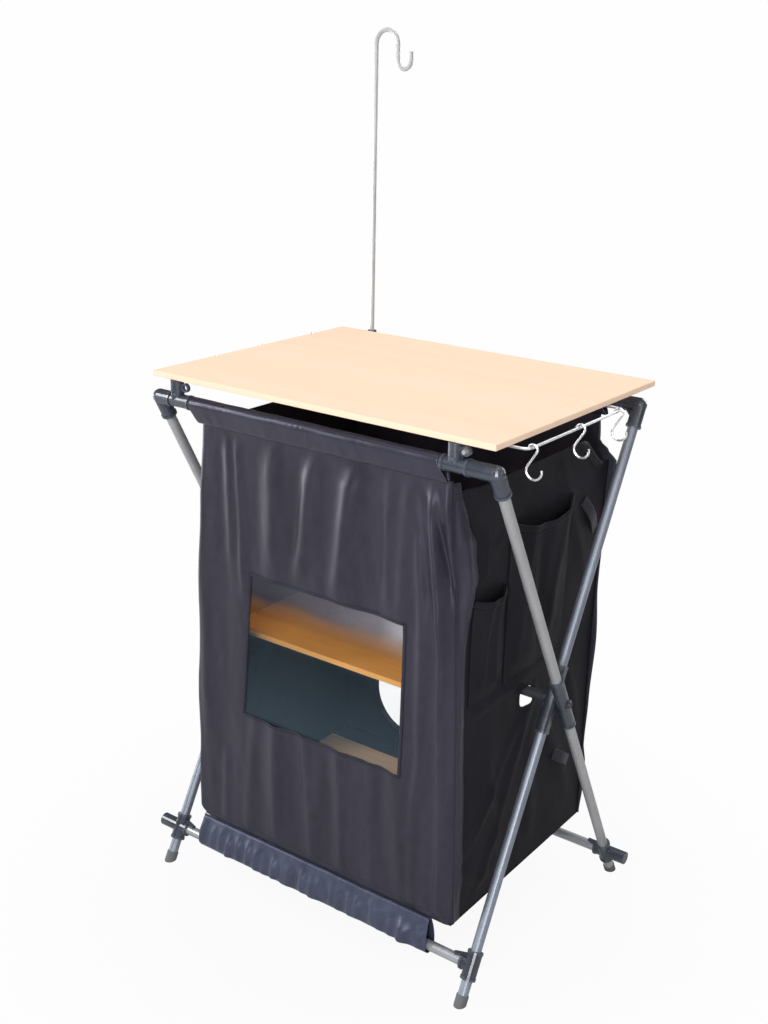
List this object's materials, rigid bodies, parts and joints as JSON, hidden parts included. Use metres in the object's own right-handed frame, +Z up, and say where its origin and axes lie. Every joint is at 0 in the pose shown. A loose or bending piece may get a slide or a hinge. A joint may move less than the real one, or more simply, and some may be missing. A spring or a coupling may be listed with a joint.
{
  "type": "folding camp kitchen shelf",
  "caption": "Folding camp kitchen stand: crossed tube legs, bamboo top, two-tier hanging cloth cabinet with a clear window, side hook rails and a lantern pole.",
  "frame": {"origin": "on the ground under the middle of the whole object's box", "axes": "+Z up, +X to the right as seen from the front, the window side faces -Y; the crossed legs turn about a line along X"},
  "size_m": [0.6872, 0.4704, 1.3475],
  "materials": {
    "bamboo": "light bamboo laminate, satin varnish",
    "grey_tube": "grey anodised aluminium look, satin",
    "fitting_plastic": "dark blue-grey moulded nylon",
    "foot_rubber": "matt",
    "bright_steel": "polished",
    "dark_steel": "black oxide",
    "pole_steel": "dull bright steel",
    "slate_fabric": "dark slate polyester cloth",
    "clear_film": "clear film window",
    "floor_panel": "thin bamboo board"
  },
  "bodies": {
    "pivot_bar": {"cross_bar": "fitting_plastic", "pivot_pin_left": "dark_steel", "pivot_pin_right": "dark_steel"},
    "frame_a": {"leg_a_left": "grey_tube", "leg_a_right": "grey_tube", "elbow_a_left": "fitting_plastic", "elbow_a_right": "fitting_plastic", "tee_a_left": "fitting_plastic", "tee_a_right": "fitting_plastic", "foot_tip_a_left": "foot_rubber", "foot_tip_a_right": "foot_rubber", "pivot_sleeve_a_left": "fitting_plastic", "pivot_sleeve_a_right": "fitting_plastic", "front_top_rail": "grey_tube", "back_bottom_rail": "grey_tube", "rail_bracket_front_left": "fitting_plastic", "rail_bracket_front_right": "fitting_plastic", "bracket_bolt_front": "bright_steel", "front_header": "slate_fabric"},
    "frame_b": {"leg_b_left": "grey_tube", "leg_b_right": "grey_tube", "elbow_b_left": "fitting_plastic", "elbow_b_right": "fitting_plastic", "tee_b_left": "fitting_plastic", "tee_b_right": "fitting_plastic", "foot_tip_b_left": "foot_rubber", "foot_tip_b_right": "foot_rubber", "pivot_sleeve_b_left": "fitting_plastic", "pivot_sleeve_b_right": "fitting_plastic", "back_top_rail": "grey_tube", "front_bottom_rail": "grey_tube", "rail_bracket_back_left": "fitting_plastic", "rail_bracket_back_right": "fitting_plastic", "bracket_bolt_back": "bright_steel", "back_header": "slate_fabric", "bottom_sleeve": "slate_fabric"},
    "cabinet": {"front_curtain": "slate_fabric", "window_pane": "clear_film", "left_side_wall": "slate_fabric", "right_side_wall": "slate_fabric", "back_wall": "slate_fabric", "cabinet_floor": "slate_fabric", "upper_pocket": "slate_fabric", "lower_pocket": "slate_fabric"},
    "shelf": {"mid_shelf": "bamboo"},
    "floor_ridge": {"floor_strip": "slate_fabric"},
    "floor_front": {"floor_leaf_front": "floor_panel"},
    "floor_back": {"floor_leaf_back": "floor_panel"},
    "board": {"table_board": "bamboo", "hook_rail_left": "bright_steel", "hook_rail_right": "bright_steel", "pole_socket": "fitting_plastic"},
    "pole": {"lantern_pole": "pole_steel"},
    "s_hook_right_1": {"s_hook_right_1": "bright_steel"},
    "s_hook_right_2": {"s_hook_right_2": "bright_steel"},
    "s_hook_right_3": {"s_hook_right_3": "bright_steel"},
    "s_hook_left_1": {"s_hook_left_1": "bright_steel"},
    "s_hook_left_2": {"s_hook_left_2": "bright_steel"},
    "s_hook_left_3": {"s_hook_left_3": "bright_steel"}
  },
  "joints": [
    {"name": "fold_a", "type": "hinge", "parent": "pivot_bar", "child": "frame_a", "pos_m": [0, -0.00525, 0.4075], "axis": [-1, 0, 0], "range_deg": [0, 22], "deforming": ["front_curtain", "window_pane", "left_side_wall", "right_side_wall", "back_wall", "cabinet_floor", "upper_pocket", "lower_pocket"]},
    {"name": "fold_b", "type": "hinge", "parent": "pivot_bar", "child": "frame_b", "pos_m": [0, -0.00525, 0.4075], "axis": [1, 0, 0], "range_deg": [0, 22]},
    {"name": "cabinet_rise", "type": "slide", "parent": "pivot_bar", "child": "cabinet", "axis": [0, 0, 1], "range_m": [0, 0.0522]},
    {"name": "board_lift", "type": "slide", "parent": "pivot_bar", "child": "board", "axis": [0, 0, 1], "range_m": [0, 0.1923]},
    {"name": "mid_shelf_tilt", "type": "hinge", "parent": "pivot_bar", "child": "shelf", "pos_m": [0, -0.00525, 0.4075], "axis": [1, 0, 0], "range_deg": [0, 76.1]},
    {"name": "floor_rise", "type": "slide", "parent": "cabinet", "child": "floor_ridge", "axis": [0, 0, 1], "range_m": [0, 0.1362]},
    {"name": "floor_front_fold", "type": "hinge", "parent": "floor_ridge", "child": "floor_front", "pos_m": [0, -0.0124, 0.1019], "axis": [1, 0, 0], "range_deg": [0, 76.1]},
    {"name": "floor_back_fold", "type": "hinge", "parent": "floor_ridge", "child": "floor_back", "pos_m": [0, 0.0019, 0.1019], "axis": [-1, 0, 0], "range_deg": [0, 76.1]},
    {"name": "pole_turn", "type": "hinge", "parent": "board", "child": "pole", "pos_m": [-0.2345, 0.22765, 0.855], "axis": [0, 0, 1], "range_deg": [-170, 170]},
    {"name": "s_hook_right_1_swing", "type": "hinge", "parent": "board", "child": "s_hook_right_1", "pos_m": [0.3275, -0.17625, 0.8437], "axis": [0, 1, 0], "range_deg": [-30, 30]},
    {"name": "s_hook_right_2_swing", "type": "hinge", "parent": "board", "child": "s_hook_right_2", "pos_m": [0.3275, -0.05125, 0.8437], "axis": [0, 1, 0], "range_deg": [-30, 30]},
    {"name": "s_hook_right_3_swing", "type": "hinge", "parent": "board", "child": "s_hook_right_3", "pos_m": [0.3275, 0.05975, 0.8437], "axis": [0, 1, 0], "range_deg": [-30, 30]},
    {"name": "s_hook_left_1_swing", "type": "hinge", "parent": "board", "child": "s_hook_left_1", "pos_m": [-0.3155, -0.07025, 0.8437], "axis": [0, 1, 0], "range_deg": [-30, 30]},
    {"name": "s_hook_left_2_swing", "type": "hinge", "parent": "board", "child": "s_hook_left_2", "pos_m": [-0.3155, 0.04075, 0.8437], "axis": [0, 1, 0], "range_deg": [-30, 30]},
    {"name": "s_hook_left_3_swing", "type": "hinge", "parent": "board", "child": "s_hook_left_3", "pos_m": [-0.3155, 0.16575, 0.8437], "axis": [0, 1, 0], "range_deg": [-30, 30]}
  ],
  "couplings": [
    {"joint": "fold_b", "follows": "fold_a", "ratio": 1},
    {"joint": "cabinet_rise", "follows": "fold_a", "m_per_rad": 0.1355},
    {"joint": "board_lift", "follows": "fold_a", "m_per_rad": 0.5},
    {"joint": "mid_shelf_tilt", "follows": "fold_a", "ratio": 3.4545},
    {"joint": "floor_rise", "follows": "fold_a", "m_per_rad": 0.354},
    {"joint": "floor_front_fold", "follows": "fold_a", "ratio": 3.4545},
    {"joint": "floor_back_fold", "follows": "fold_a", "ratio": 3.4545}
  ]
}
